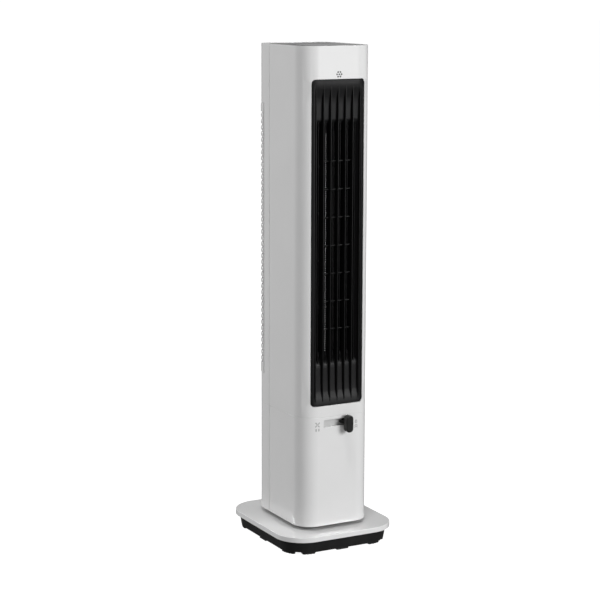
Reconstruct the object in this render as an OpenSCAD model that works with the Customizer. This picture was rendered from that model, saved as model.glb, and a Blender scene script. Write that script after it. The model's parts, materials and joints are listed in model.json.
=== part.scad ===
// Tower evaporative cooler on a square-round foot.
// Frame: floor at z = 0, +Z up, front of the tower faces -Y,
// origin at the centre of the foot, on the floor.

/* [Tower casing] */
// Width of the tower, left to right
body_w = 168; // [150:1:190]
// Depth of the tower, front to back
body_d = 211; // [190:1:230]
// Height of the tower casing
body_h = 1000; // [960:5:1060]
// Radius of the two front vertical corners
r_front = 40; // [30:1:45]
// Radius of the two rear vertical corners
r_rear = 36; // [30:1:45]
// Wall thickness of the plastic shells
wall = 2.5; // [2:0.1:3.5]
// Distance from the foot centre back to the tower centre (negative is towards the front)
body_y = -4; // [-8:0.5:0]
// Height of the seam between the lower and upper casings, above the casing's bottom edge
seam_h = 234.5; // [220:0.5:250]
// Distance of the rear casing seam behind the foot centre
seam_y = 38; // [30:1:50]

/* [Foot] */
// Width of the foot plate
plate_w = 266; // [250:1:300]
// Depth of the foot plate
plate_d = 300; // [280:1:330]
// Corner radius of the foot plate
plate_r = 63; // [50:1:70]
// Thickness of the foot plate
plate_t = 10; // [8:0.5:14]
// Height of the foot plate's underside above the floor
plate_z = 27; // [24:0.5:32]
// Inset of the tray under the plate's edge
tray_inset = 8; // [5:0.5:12]
// How much further in the tray's lower edge is than its upper edge
tray_draft = 5; // [2:0.5:8]
// Extra depth of the tray, which raises everything above it
lift = 3; // [0:0.5:5]
// Gap between the foot plate and the casing's bottom edge
turn_gap = 8; // [6:0.5:12]

/* [Air outlet] */
// Half of the outlet grille's width
grille_hw = 62; // [55:0.5:66]
// Height of the outlet grille's lower edge above the casing's bottom
grille_z0 = 258; // [250:1:270]
// Height of the outlet grille's upper edge above the casing's bottom
grille_z1 = 933; // [880:1:945]
// Corner radius of the outlet grille
grille_r = 9; // [6:0.5:12]
// Distance between neighbouring upright fins
fin_pitch = 17; // [15:0.5:19]
// Distance between neighbouring cross bars
bar_pitch = 58; // [40:1:70]

/* [Fan] */
// Outer radius of the cross-flow impeller
fan_r = 46; // [42:0.5:47]
// Number of blades on the impeller
fan_blades = 26; // [18:1:34]
// Number of discs along the impeller, ends included
fan_discs = 6; // [4:1:8]

/* [Air intake] */
// Distance between intake louvres
louvre_pitch = 13; // [11:0.5:16]
// Height of the intake cover's lower edge above the casing's bottom
intake_z0 = 301; // [290:1:310]
// Height of the intake cover's upper edge above the casing's bottom
intake_z1 = 876; // [840:1:900]

/* [Mode slide] */
// Height of the slot's middle above the casing's bottom
slot_h = 220; // [216:0.5:222]
// Half of the slot's length
slot_hl = 32; // [30:0.5:36]
// Height of the slot opening
slot_w = 15.4; // [13:0.2:17]
// Place of the knob, to the right of the middle
knob_x = 19.9; // [16:0.1:20]

/* [Turning drive] */
// Gear module of the turning drive
gear_m = 1.5; // [1.5:0.5:1.5]
// Teeth on a full circle of the fixed sector gear
ring_teeth = 60; // [60:1:60]
// Teeth on the drive pinion
pinion_teeth = 15; // [15:1:15]

/* [Water tank] */
// Half of the tank's width
tank_hw = 70; // [60:1:72]
// Height of the tank
tank_h = 176; // [120:1:178]

/* [Hidden] */
$fn = 64;
white = [0.90, 0.90, 0.90];
black = [0.09, 0.09, 0.10];
grey = [0.42, 0.43, 0.43];
steel = [0.72, 0.73, 0.75];

plate_top = plate_z + plate_t;
zb = plate_top + turn_gap;       // casing bottom
zt = zb + body_h;                // casing top
zs = zb + seam_h;                // seam
yf = body_y - body_d/2;          // front face
yr = body_y + body_d/2;          // rear face
gz0 = zb + grille_z0;
gz1 = zb + grille_z1;
iz0 = zb + intake_z0;
iz1 = zb + intake_z1;
fan_y = -18;                     // impeller axis
deck_z = zs - 7.5;               // underside of the deck
tank_z = 86;                     // underside of the tank
slot_z = zb + slot_h;
fin_n = 3;
ramp_t0 = gz1 - 15;              // where the upper valleys start
ramp_t1 = zb + 850;
ramp_t2 = zb + 829;              // top of the open throat
ramp_b2 = zb + 366;              // bottom of the open throat
ramp_b1 = zb + 345;
ramp_b0 = gz0 + 12;
bar_z0 = zb + 419;
riser_x = 60;                    // water pipe axis
pad_x = -3;                      // middle of the wet pad
scroll_z0 = 395;
scroll_z1 = 905;

// ---- shared shapes ----
// Rounded rectangle with its own front (-y) and rear corner radii
module rr(w, d, rf, rb) {
  translate([-w/2 + rf, -d/2]) square([w - 2*rf, d/2]);
  translate([-w/2 + rb, -1]) square([w - 2*rb, d/2 + 1]);
  translate([-w/2, -d/2 + rf]) square([w, d - rf - rb]);
  for (s = [-1, 1]) {
    translate([s*(w/2 - rf), -d/2 + rf]) circle(r = rf, $fn = 96);
    translate([s*(w/2 - rb), d/2 - rb]) circle(r = rb, $fn = 96);
  }
}
// Outline of the casing, grown by g (negative shrinks)
module outline(g) { translate([0, body_y]) rr(body_w + 2*g, body_d + 2*g, r_front + g, r_rear + g); }
module ring2(g0, g1) { difference() { outline(g0); outline(g1); } }
// Straight solid between z0 and z1
module raised() { translate([0, 0, lift]) children(); }
module slab(z0, z1) { translate([0, 0, z0]) linear_extrude(z1 - z0) children(); }
module window(hw, z0, z1, r, y0, y1) {
  translate([0, y1, 0]) rotate([90, 0, 0]) linear_extrude(y1 - y0) union() {
    translate([-hw + r, z0]) square([2*(hw - r), z1 - z0]);
    translate([-hw, z0 + r]) square([2*hw, z1 - z0 - 2*r]);
    for (x = [-hw + r, hw - r], z = [z0 + r, z1 - r]) translate([x, z]) circle(r = r);
  }
}
// Rounded rectangular solid whose walls lean in towards the floor
module drafted(w, d, r, z0, z1, k) {
  for (sx = [-1, 1], sy = [-1, 1]) translate([sx*(w/2 - r), sy*(d/2 - r), z0]) cylinder(h = z1 - z0, r1 = r - k, r2 = r, $fn = 96);
  rotate([90, 0, 0]) translate([0, 0, -(d/2 - r)]) linear_extrude(d - 2*r)
    polygon([[-w/2 + k, z0], [w/2 - k, z0], [w/2, z1], [-w/2, z1]]);
  rotate([90, 0, 90]) translate([0, 0, -(w/2 - r)]) linear_extrude(w - 2*r)
    polygon([[-d/2 + k, z0], [d/2 - k, z0], [d/2, z1], [-d/2, z1]]);
}
module screw(r_head, h_head, r, l) { cylinder(h = h_head, r = r_head, $fn = 32); translate([0, 0, h_head - 0.01]) cylinder(h = l, r = r, $fn = 24); }

// ---- involute spur gear ----
function inv(a) = tan(a)*180/PI - a;
function flank(r, rbase) = inv(acos(min(1, rbase/r)));
function gear_radii(n, m) = [for (i = [0:4]) let (rp = m*n/2, r0 = max(m*n/2*cos(20) + 0.02, rp - 1.1*m), r1 = rp + 0.8*m) r0 + (r1 - r0)*i/4];
function half_ang(r, n, m, slack) = let (rp = m*n/2) 90/n - slack/rp*180/PI + inv(20) - flank(r, rp*cos(20));
// one tooth pointing along +x, from below the root circle up to the tip
function tooth(n, m, slack) = let (rs = gear_radii(n, m), rr0 = m*n/2 - 1.3*m)
  concat([[rr0*cos(-half_ang(rs[0], n, m, slack)), rr0*sin(-half_ang(rs[0], n, m, slack))]],
    [for (r = rs) let (a = half_ang(r, n, m, slack)) [r*cos(-a), r*sin(-a)]],
    [for (i = [4:-1:0]) let (r = rs[i], a = half_ang(r, n, m, slack)) [r*cos(a), r*sin(a)]],
    [[rr0*cos(half_ang(rs[0], n, m, slack)), rr0*sin(half_ang(rs[0], n, m, slack))]]);
module teeth2(n, m, slack, list) { for (i = list) rotate(360/n*i) polygon(tooth(n, m, slack)); }
gear_c = gear_m*(ring_teeth + pinion_teeth)/2;

// ---- foot ----
module base_tray() color(black) difference() {
  drafted(plate_w - 2*tray_inset, plate_d - 2*tray_inset, plate_r - tray_inset, 3, plate_z + lift, tray_draft);
  drafted(plate_w - 2*tray_inset - 6, plate_d - 2*tray_inset - 6, plate_r - tray_inset - 3, 7, plate_z + lift + 1, tray_draft - 1);
  // corner notches in the lower edge
  for (sx = [-1, 1], sy = [-1, 1]) translate([sx*(plate_w/2 - plate_r), sy*(plate_d/2 - plate_r), 2])
    rotate(sy > 0 ? (sx > 0 ? 51 : 129) : (sx > 0 ? -51 : -129)) { translate([43.5, -7, 0]) cube([20, 14, 4]); translate([49.7, -7, 3.9]) cube([20, 14, 3]); }
  for (sx = [-1, 1], sy = [-1, 1]) translate([sx*84, sy*100, 0]) { cylinder(h = 10, r = 2.2); cylinder(h = 5, r = 4.6); }
  // mouth for the lead's gland
  translate([0, plate_d/2 - 30, 17 + lift]) rotate([-90, 0, 0]) cylinder(h = 40, r = 6.5);
}
module base_plate() color(white) raised() difference() {
  slab(plate_z, plate_top) rr(plate_w, plate_d, plate_r, plate_r);
  translate([0, 0, plate_z - 1]) cylinder(h = plate_t + 2, r = 20);
  for (sx = [-1, 1], sy = [-1, 1]) translate([sx*84, sy*100, plate_z - 1]) cylinder(h = 8, r = 1.6);
  for (a = [45:90:315]) rotate(a) translate([50, 0, plate_z - 1]) cylinder(h = 20, r = 2);
}
module foot_arc(a0, a1) {
  for (a = [a0:8:a1]) rotate(a) translate([44.4, 0, 0]) cylinder(h = 3, r = 5, $fn = 32);
}
module rubber_feet() color([0.06, 0.06, 0.06]) {
  for (sx = [-1, 1], sy = [-1, 1]) translate([sx*(plate_w/2 - plate_r), sy*(plate_d/2 - plate_r), 0])
    scale([sx, sy, 1]) { foot_arc(4, 36); foot_arc(68, 92); }
  for (s = [-1, 1]) {
    translate([s*115.4 - 4, -13.5, 0]) cube([8, 27, 3]);
    translate([-13.5, s*132.4 - 4, 0]) cube([27, 8, 3]);
  }
}
module ballast_plate() color(steel) difference() {
  slab(7, 13) rr(196, 226, 40, 40);
  translate([0, 0, 6]) cylinder(h = 8, r = 30);
  for (sx = [-1, 1], sy = [-1, 1]) translate([sx*84, sy*100, 6]) cylinder(h = 8, r = 6);
}
module swivel_base() color(black) raised() difference() {
  union() {
    translate([0, 0, plate_top]) cylinder(h = 10, r = 60, $fn = 96);
    translate([0, 0, plate_z - 8]) cylinder(h = 60.5, r = 14);
  }
  translate([0, 0, plate_z - 9]) cylinder(h = 70, r = 9);
  for (a = [45:90:315]) rotate(a) translate([50, 0, plate_top - 1]) cylinder(h = 9, r = 2);
}
module ring_gear() color([0.85, 0.85, 0.82]) raised() difference() {
  union() {
    translate([0, 0, plate_top + 10]) cylinder(h = 7, r = gear_m*ring_teeth/2 - 1.25*gear_m, $fn = 120);
    slab(plate_top + 10, plate_top + 17) teeth2(ring_teeth, gear_m, 0.12, [-10:10]);
  }
  translate([0, 0, plate_top + 9]) cylinder(h = 9, r = 14.5);
}
module glide_ring() color([0.95, 0.95, 0.92]) raised() difference() {
  translate([0, 0, plate_top + 17]) cylinder(h = 2.7, r = 38);
  translate([0, 0, plate_top + 16]) cylinder(h = 5, r = 16);
}
module spindle_nut() color(steel) raised() difference() {
  translate([0, 0, 72.3]) cylinder(h = 7.2, r = 20, $fn = 6);
  translate([0, 0, 71]) cylinder(h = 12, r = 14.05);
}
module base_screws() color(steel) {
  for (sx = [-1, 1], sy = [-1, 1]) translate([sx*84, sy*100, 3.2]) { cylinder(h = 1.8, r = 4.2); cylinder(h = 30 + lift, r = 1.6); }
}
module swivel_screws() color(steel) raised() {
  for (a = [45:90:315]) rotate(a) translate([50, 0, plate_z - 2.5]) { cylinder(h = 2.5, r = 4); cylinder(h = 19.5, r = 1.95); }
}
module cord_gland() color(black) raised() translate([0, plate_d/2 - tray_inset - 10, 17]) rotate([-90, 0, 0]) difference() {
  union() { cylinder(h = 16, r = 6.4); translate([0, 0, 10.4]) cylinder(h = 5, r = 9); cylinder(h = 2.4, r = 9); }
  translate([0, 0, -1]) cylinder(h = 20, r = 3.6);
}

// ---- tower frame ----
module chassis_base() color(black) raised() difference() {
  union() {
    slab(57, 60) outline(-wall - 0.6);
    translate([0, 0, 57]) cylinder(h = 15, r = 24);
    for (sx = [-1, 1]) translate([sx*70, -60, 57]) cylinder(h = 25, r = 5);
    for (sx = [-1, 1]) translate([sx*70, 60, 57]) cylinder(h = 25, r = 5);
  }
  translate([0, 0, 50]) cylinder(h = 30, r = 14.05);
  translate([gear_c, 0, 50]) cylinder(h = 20, r = 4.2);
  for (sx = [-1, 1], sy = [-1, 1]) translate([sx*70, sy*60, 50]) cylinder(h = 24, r = 1.6);
}
module tank_bay() color([0.80, 0.81, 0.82]) raised() difference() {
  translate([-79, -70, 82]) cube([158, 166, deck_z - 82]);
  translate([-76.5, -67.5, 84.5]) cube([153, 200, 400]);
  for (sx = [-1, 1]) translate([sx*79, 96, 82]) cylinder(h = 400, r = 21);
}
module deck_plate() color(black) raised() difference() {
  intersection() { slab(deck_z, deck_z + 4) outline(-wall - 0.6); translate([-100, yf + 26, 0]) cube([200, 400, 400]); }
  for (x = [-12, 12, 36]) translate([x - 5, -76, deck_z - 1]) cube([10, 30, 8]);
  translate([riser_x, 57, deck_z - 1]) cylinder(h = 10, r = 5.5);
  translate([-64, 57, deck_z - 1]) cylinder(h = 10, r = 5.5);
  translate([-74, -30, deck_z - 1]) cylinder(h = 10, r = 4);
}

// ---- casing ----
module cut_front(y) { translate([-200, -400, 0]) cube([400, 400 + y, 1200]); }
module cut_rear(y) { translate([-200, y, 0]) cube([400, 400, 1200]); }
module lower_front_cover() color(white) raised() difference() {
  intersection() { slab(zb, zs - 0.5) ring2(0, -wall); cut_front(seam_y); }
  window(slot_hl + 1.5, slot_z - slot_w/2 - 1.5, slot_z + slot_w/2 + 1.5, 3, yf - 10, yf + 20);
}
module slot_bezel() color(white) raised() difference() {
  window(slot_hl + 1.5, slot_z - slot_w/2 - 1.5, slot_z + slot_w/2 + 1.5, 3, yf, yf + 9);
  window(slot_hl, slot_z - slot_w/2, slot_z + slot_w/2, 2, yf - 1, yf + 7.6);
  // slit in the back wall for the slide's tongue
  translate([-31, yf + 5, slot_z + slot_w/2 - 1.9]) cube([62, 10, 1.9]);
}
module front_shell() color(white) raised() difference() {
  union() {
    intersection() { slab(zs, zt) ring2(0, -wall); cut_front(seam_y); }
    intersection() { slab(zt - 5.5, zt - 3) outline(-wall + 0.1); cut_front(yf + 18); }
  }
  window(grille_hw, gz0, gz1, grille_r, yf - 10, yf + 40);
  // sounder holes
  translate([0, yf - 5, gz1 + 9.5]) rotate([-90, 0, 0]) { cylinder(h = 20, r = 1.2, $fn = 24); for (a = [0:60:300]) rotate(a) translate([4.6, 0, 0]) cylinder(h = 20, r = 1.2, $fn = 24); }
}
module rear_shell() color(white) raised() difference() {
  intersection() { slab(zs, zt) ring2(0, -wall); cut_rear(seam_y + 0.9); }
  translate([-200, 62, iz0 - 0.6]) cube([400, 100, iz1 - iz0 + 1.2]);
}
module top_cover() color(grey) raised() slab(zt - 3, zt - 0.6) outline(-wall - 0.2);
module control_glass() color([0.10, 0.11, 0.12]) raised() slab(zt - 0.6, zt) translate([0, body_y - 44]) rr(118, 84, 16, 16);
module control_board() color([0.10, 0.35, 0.18]) raised() {
  translate([-50, -84, zt - 16]) cube([100, 70, 1.6]);
  for (x = [-30, -8, 20], y = [-70, -40]) translate([x, y, zt - 14.4]) cube([10, 7, 3]);
  for (x = [-42, 42], y = [-76, -22]) translate([x, y, zt - 14.4]) cylinder(h = 11.4, r = 3);
}
module beeper() color(black) raised() translate([0, yf + wall + 0.5, gz1 + 9.5]) rotate([-90, 0, 0]) cylinder(h = 8, r = 9);
module shell_screws() color(steel) raised() {
  for (sx = [-1, 1], sy = [-1, 1]) translate([sx*70, sy*60, 54.6]) { cylinder(h = 2.4, r = 3.6); cylinder(h = 18, r = 1.6); }
}

// ---- air outlet ----
module sheet(pts, t, hx) rotate([90, 0, 90]) translate([0, 0, -hx]) linear_extrude(2*hx) polygon(concat(pts, [for (i = [len(pts) - 1:-1:0]) [pts[i][0] + t, pts[i][1]]]));
module outlet_grille() color(black) raised() {
  // face frame, following the rounded front
  difference() {
    intersection() {
      slab(gz0 + 0.6, gz1 - 0.6) ring2(-0.6, -3.4);
      window(grille_hw - 0.6, gz0 + 0.6, gz1 - 0.6, grille_r - 0.6, yf - 10, yf + 40);
    }
    translate([-53, yf - 10, ramp_b0]) cube([106, 60, ramp_t0 - ramp_b0]);
  }
  // sloped floors of the valleys above and below the throat
  sheet([[yf + 1.6, ramp_t0 + 1], [yf + 8, ramp_t1], [yf + 25, ramp_t2]], 2, 54);
  sheet([[yf + 25, ramp_b2], [yf + 8, ramp_b1], [yf + 1.6, ramp_b0 - 1]], 2, 54);
  // side walls that close the outer bays
  for (s = [-1, 1]) slab(ramp_b2 - 12, ramp_t2 + 12) polygon([[s*55, yf + 5], [s*52.6, yf + 4], [s*47, yf + 10.5], [s*36, yf + 26], [s*38, yf + 26], [s*49, yf + 12]]);
  // upright main fins and the thinner ones set back between them
  for (i = [-fin_n:fin_n]) translate([i*fin_pitch - 1.1, yf + (abs(i) == 3 ? 2.4 : 0.9), ramp_b0 - 2]) cube([2.2, abs(i) == 3 ? 5 : 15, ramp_t0 - ramp_b0 + 4]);
  for (i = [-fin_n:fin_n - 1]) if (abs(i + 0.5) < 2) translate([(i + 0.5)*fin_pitch - 0.7, yf + 9, ramp_b1]) cube([1.4, 14, ramp_t1 - ramp_b1]);
  for (s = [-1, 1]) translate([s*(fin_n - 0.5)*fin_pitch - 0.7, yf + 8.6, ramp_b1]) cube([1.4, 9.4, ramp_t1 - ramp_b1]);
  // cross bars
  for (k = [0:6]) translate([-2*fin_pitch, yf + 10, bar_z0 + k*bar_pitch - 0.9]) cube([4*fin_pitch, 3, 1.8]);
}

// ---- fan ----
function scroll_pt(a, t) = let (r = 49.5 + t + (58 - a)/110*19) [r*cos(a), fan_y + r*sin(a)];
scroll_a = [for (a = [58:-6:-50]) a];
module fan_scroll() color([0.25, 0.25, 0.26]) raised() slab(scroll_z0, scroll_z1)
  polygon(concat([for (a = scroll_a) scroll_pt(a, 0)], [[36, yf + 27.5], [38.5, yf + 27.5]], [for (i = [len(scroll_a) - 1:-1:0]) scroll_pt(scroll_a[i], 2.2)]));
module fan_tongue() color([0.25, 0.25, 0.26]) raised() slab(scroll_z0, scroll_z1)
  polygon([[-38.5, yf + 27.5], [-36, yf + 27.5], [-36.5, -60], [-39.5, -55], [-62, -58], [-62, -60.2], [-41, -58]]);
module fan_plate(z0, z1) intersection() { slab(z0, z1) outline(-wall - 0.2); cut_rear(yf + 28); cut_front(82); }
module fan_base_plate() color([0.2, 0.2, 0.21]) raised() difference() {
  fan_plate(scroll_z0 - 4, scroll_z0);
  translate([0, fan_y, scroll_z0 - 10]) cylinder(h = 20, r = 8);
  translate([riser_x, 57, scroll_z0 - 10]) cylinder(h = 20, r = 5.5);
  translate([-64, 57, scroll_z0 - 10]) cylinder(h = 20, r = 5.5);
  translate([-74, -30, scroll_z0 - 10]) cylinder(h = 20, r = 4);
}
module fan_top_plate() color([0.2, 0.2, 0.21]) raised() difference() {
  fan_plate(scroll_z1, scroll_z1 + 4);
  translate([0, fan_y, scroll_z1 - 10]) cylinder(h = 20, r = 11);
  translate([-74, -30, scroll_z1 - 10]) cylinder(h = 20, r = 4);
}
module top_bush() color([0.12, 0.12, 0.12]) raised() translate([0, fan_y, scroll_z1 - 2.5]) difference() {
  union() { cylinder(h = 10, r = 11); translate([0, 0, 6.5]) cylinder(h = 3.5, r = 15); }
  translate([0, 0, -1]) cylinder(h = 12, r = 4.05);
}
module impeller() color([0.13, 0.13, 0.14]) raised() translate([0, fan_y, 0]) {
  zl = scroll_z0 + 8; zh = scroll_z1 - 8; step = (zh - zl - 3)/(fan_discs - 1);
  for (k = [0:fan_discs - 1]) translate([0, 0, zl + k*step]) difference() {
    cylinder(h = 3, r = fan_r, $fn = 96);
    if (k > 0 && k < fan_discs - 1) translate([0, 0, -1]) cylinder(h = 5, r = fan_r - 13, $fn = 96);
  }
  for (i = [0:fan_blades - 1]) rotate(360/fan_blades*i) slab(zl + 1, zh - 1)
    polygon([[fan_r - 12, -1.5], [fan_r - 7, 0.4], [fan_r - 3, 3], [fan_r - 0.8, 6.2], [fan_r - 1.9, 6.6], [fan_r - 4, 4.1], [fan_r - 7.8, 1.6], [fan_r - 12.3, -0.3]]);
  difference() { translate([0, 0, zl - 6]) cylinder(h = 8, r = 12); translate([0, 0, zl - 7]) cylinder(h = 7, r = 4.03); }
  translate([0, 0, zh - 1]) cylinder(h = scroll_z1 + 7 - zh + 1, r = 4);
}
module motor_rotor() color(steel) raised() translate([0, fan_y, 0]) { translate([0, 0, 326]) cylinder(h = 76.6, r = 4); translate([0, 0, 338]) cylinder(h = 34, r = 22); }
module motor_housing() color([0.55, 0.56, 0.58]) raised() translate([0, fan_y, 0]) difference() {
  translate([0, 0, 324]) cylinder(h = 62, r = 42, $fn = 96);
  translate([0, 0, 335]) cylinder(h = 40, r = 23);
  translate([0, 0, 325]) cylinder(h = 80, r = 4.05);
}
module motor_mount() color(black) raised() translate([0, fan_y, 0]) difference() {
  union() {
    translate([0, 0, 386]) cylinder(h = 5, r = 30);
    for (a = [0:90:180]) rotate(a) translate([48, 0, deck_z + 4]) cylinder(h = scroll_z0 - 8 - deck_z, r = 4.5);
    for (a = [0:90:180]) rotate(a) translate([0, -5, 386]) cube([50, 10, 5]);
  }
  translate([0, 0, 380]) cylinder(h = 20, r = 10);
}

// ---- wet pad and water path ----
module pad_frame() color([0.85, 0.86, 0.87]) raised() difference() {
  translate([pad_x - 57, 36, 403]) cube([114, 40, 482]);
  translate([pad_x - 54.5, 38.2, 405.5]) cube([109, 35.6, 477]);
  for (k = [0:5]) translate([pad_x - 52, 30, 408 + k*79]) cube([104, 60, 76]);
}
module cooling_pad() color([0.72, 0.60, 0.42]) raised() translate([pad_x - 54.3, 38.4, 405.7]) cube([108.6, 35.2, 476.6]);
module water_trough() color([0.85, 0.86, 0.87]) raised() difference() {
  translate([pad_x - 57, 36, 885]) cube([114, 40, 19.8]);
  translate([pad_x - 55, 38, 887]) cube([110, 36, 30]);
  for (i = [-6:6]) translate([pad_x + i*8, 56, 880]) cylinder(h = 12, r = 1.5, $fn = 24);
  translate([riser_x, 57, 896]) rotate([0, -90, 0]) cylinder(h = 10, r = 3.6);
}
module drip_tray() color([0.80, 0.81, 0.82]) raised() difference() {
  translate([-74, 34, scroll_z0]) cube([128, 46, 8]);
  translate([-72, 36, scroll_z0 + 2]) cube([124, 42, 20]);
  translate([-64, 57, scroll_z0 - 1]) cylinder(h = 5, r = 3.2);
}
module riser_hose() color([0.75, 0.80, 0.84, 1]) raised() difference() {
  union() {
    translate([riser_x, 57, 263]) cylinder(h = 639, r = 4.8);
    translate([riser_x, 57, 896]) rotate([0, -90, 0]) cylinder(h = 10, r = 3.5);
  }
  translate([riser_x, 57, 262]) cylinder(h = 636, r = 3.2);
  translate([riser_x, 57, 896]) rotate([0, -90, 0]) cylinder(h = 12, r = 2.4);
}
module drain_pipe() color([0.80, 0.81, 0.82]) raised() difference() {
  translate([-64, 57, 266]) cylinder(h = scroll_z0 - 266, r = 5);
  translate([-64, 57, 260]) cylinder(h = 200, r = 3.2);
}

// ---- turning drive ----
module swing_motor() color([0.70, 0.71, 0.72]) raised() translate([gear_c, 0, 60]) difference() {
  union() { cylinder(h = 18, r = 14); translate([-4, -22, 0]) cube([8, 44, 1.5]); }
  translate([0, 0, -1]) cylinder(h = 16, r = 3.55);
}
module swing_pinion() color([0.92, 0.92, 0.90]) raised() translate([gear_c, 0, 0]) {
  cylinder_shaft();
  slab(plate_top + 11, plate_top + 16.5) teeth2(pinion_teeth, gear_m, 0.12, [0:pinion_teeth - 1]);
  translate([0, 0, plate_top + 11]) cylinder(h = 5.5, r = gear_m*pinion_teeth/2 - 1.25*gear_m, $fn = 48);
}
module cylinder_shaft() { translate([0, 0, plate_top + 11]) cylinder(h = 25, r = 3.5); }

// ---- mode slide ----
module stadium(w, h) { translate([-w/2, -h/2 + w/2]) square([w, h - w]); for (s = [-1, 1]) translate([0, s*(h/2 - w/2)]) circle(r = w/2, $fn = 48); }
module lever_knob() color(black) raised() translate([knob_x, yf - 6.5, slot_z - 2]) rotate([90, 0, 0]) linear_extrude(13.5) stadium(16.2, 36.6);
module lever_slide() color(black) raised() {
  // neck between the shoe and the knob
  translate([knob_x, yf - 6.5, slot_z]) rotate([-90, 0, 0]) linear_extrude(11) square([11, 10], center = true);
  // shoe that runs in the slot
  translate([knob_x - 11.6, yf + 3.8, slot_z - 2.2]) cube([23.2, 3.2, 4.4]);
  translate([knob_x - 6, yf + 5.2, slot_z + 1]) cube([12, 1.8, 6.3]);
  // tongue through the slit, and arm up to the shutter
  translate([knob_x - 6, yf + 6, slot_z + 6.1]) cube([12, 8, 1.2]);
  translate([knob_x - 6, yf + 10.4, slot_z + 6.1]) cube([12, 3.6, deck_z + 10.4 - slot_z - 6.1]);
  translate([knob_x - 6, yf + 10.4, deck_z + 7.8]) cube([12, 24, 2.6]);
}
module shutter_plate() color([0.80, 0.81, 0.82]) raised() difference() {
  translate([-26, -78, deck_z + 4.4]) cube([104, 34, 3.4]);
  for (x = [-12, 12, 36]) translate([x - 5, -76, deck_z]) cube([10, 30, 20]);
}

// ---- tank drawer ----
module water_tank() color([0.70, 0.78, 0.85]) raised() difference() {
  union() {
    difference() {
      intersection() { translate([-tank_hw, -62, tank_z]) cube([2*tank_hw, 157, tank_h]); slab(0, 400) outline(-wall - 1); }
      intersection() { translate([-tank_hw + 2.5, -59.5, tank_z + 2.5]) cube([2*tank_hw - 5, 152, tank_h]); slab(0, 400) outline(-wall - 3.5); }
    }
    // pocket behind the cover's finger opening
    translate([-40.5, 72.5, zb + 172]) cube([81, 21, 32]);
  }
  translate([-38, 75, zb + 174.5]) cube([76, 40, 27]);
}
module tank_cover() color(white) raised() difference() {
  intersection() { slab(zb, zs - 0.5) ring2(0, -wall); cut_rear(seam_y + 0.9); }
  // finger recess opening
  window(36, zb + 176, zb + 200, 10, yr - 10, yr + 10);
}
module pump_housing() color(black) raised() translate([30, 40, tank_z + 2.6]) difference() {
  union() { cylinder(h = 34, r = 24); translate([0, 0, 20]) rotate([0, 90, atan2(17, riser_x - 30)]) cylinder(h = 29.4, r = 4.5); }
  translate([0, 0, 3]) cylinder(h = 26, r = 20);
}
module pump_rotor() color([0.85, 0.85, 0.82]) raised() translate([30, 40, tank_z + 6.5]) {
  cylinder(h = 18, r = 8);
  for (i = [0:5]) rotate(60*i) translate([0, -0.8, 0]) cube([17, 1.6, 8]);
}
module pump_pipe() color([0.75, 0.80, 0.84, 1]) raised() difference() {
  translate([riser_x, 57, tank_z + 15]) cylinder(h = 262.5 - tank_z - 15, r = 4.8);
  translate([riser_x, 57, tank_z + 18]) cylinder(h = 300, r = 3.2);
}

// ---- air intake ----
module intake_grille() color(white) raised() {
  n = floor((iz1 - iz0 - 24)/louvre_pitch);
  z0 = (iz0 + iz1)/2 - n*louvre_pitch/2 + 2;
  difference() {
    intersection() { slab(iz0, iz1) ring2(1, -1.6); cut_rear(63.6); }
    for (k = [0:n - 1]) translate([-200, 67, z0 + k*louvre_pitch + louvre_pitch/2 - 1.6]) cube([400, 100, 3.2]);
  }
  // uprights behind the louvres
  for (x = [-48, -16, 16, 48]) translate([x - 1.5, yr - 5, iz0 + 2]) cube([3, 4.2, iz1 - iz0 - 4]);
}
module dust_filter() color([0.30, 0.31, 0.32]) raised() {
  difference() {
    translate([-62, 84, iz0 + 6]) cube([124, 4, iz1 - iz0 - 12]);
    translate([-58, 80, iz0 + 10]) cube([116, 12, iz1 - iz0 - 20]);
  }
  translate([-58.5, 85.5, iz0 + 9.5]) cube([117, 0.8, iz1 - iz0 - 19]);
  for (s = [-1, 1], z = [iz0 + 6, iz1 - 9]) translate([s*30 - 3, 88, z]) cube([6, 11.8, 3]);
}
module wiring_loom() color([0.15, 0.15, 0.16]) raised() {
  translate([-74, -30, deck_z + 14]) rotate([0, 90, 0]) cylinder(h = 30, r = 2.6);
  translate([-74, -30, deck_z + 14]) sphere(r = 3);
  translate([-74, -30, deck_z + 14]) cylinder(h = zt - 24 - deck_z - 14, r = 3);
  translate([-74, -30, zt - 24]) sphere(r = 3);
  translate([-74, -30, zt - 24]) rotate([0, 90, 0]) cylinder(h = 30, r = 2.6);
}

base_tray();
base_plate();
rubber_feet();
ballast_plate();
swivel_base();
ring_gear();
glide_ring();
spindle_nut();
base_screws();
swivel_screws();
cord_gland();
chassis_base();
tank_bay();
deck_plate();
lower_front_cover();
front_shell();
rear_shell();
top_cover();
control_glass();
control_board();
beeper();
outlet_grille();
fan_scroll();
fan_tongue();
fan_base_plate();
fan_top_plate();
top_bush();
motor_mount();
motor_housing();
pad_frame();
cooling_pad();
water_trough();
drip_tray();
riser_hose();
drain_pipe();
swing_motor();
slot_bezel();
wiring_loom();
shell_screws();
impeller();
motor_rotor();
lever_knob();
lever_slide();
shutter_plate();
swing_pinion();
water_tank();
tank_cover();
pump_housing();
pump_pipe();
pump_rotor();
intake_grille();
dust_filter();
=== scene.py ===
import bpy
import bmesh
import json
import math
import numpy as np
from mathutils import Matrix, Vector
from mathutils.geometry import delaunay_2d_cdt


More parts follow.
